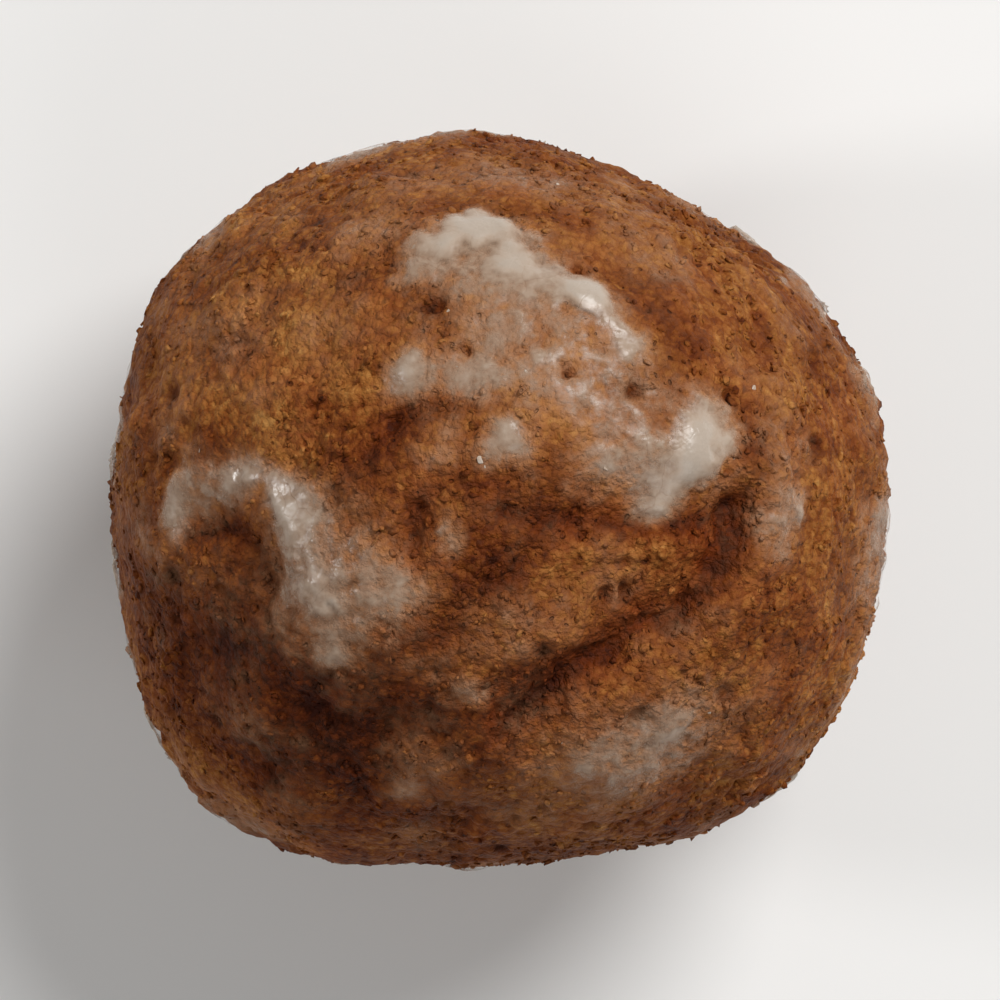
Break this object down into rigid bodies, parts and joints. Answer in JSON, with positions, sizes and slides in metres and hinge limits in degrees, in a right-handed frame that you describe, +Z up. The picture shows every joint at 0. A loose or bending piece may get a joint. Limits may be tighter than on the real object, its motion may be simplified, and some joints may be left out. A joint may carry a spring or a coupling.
{
  "type": "glazed doughnut hole",
  "caption": "Bite-size ball of fried cake dough with an uneven browned crust and a patchy sugar glaze, resting on a small flat spot.",
  "frame": {"origin": "centre of the bounding box at its lowest level, on the flat spot that the ball rests on", "axes": "+Z up out of the surface that it rests on; +X along the ball's widest way across; +Y towards the far side as seen from above"},
  "size_m": [0.038, 0.036, 0.035],
  "materials": {
    "fried_crust": "rough, crumbly golden-brown fried crust",
    "sugar_glaze": "satin, milky dried sugar glaze"
  },
  "bodies": {
    "root": {"doughnut_hole": "fried_crust"}
  },
  "joints": []
}
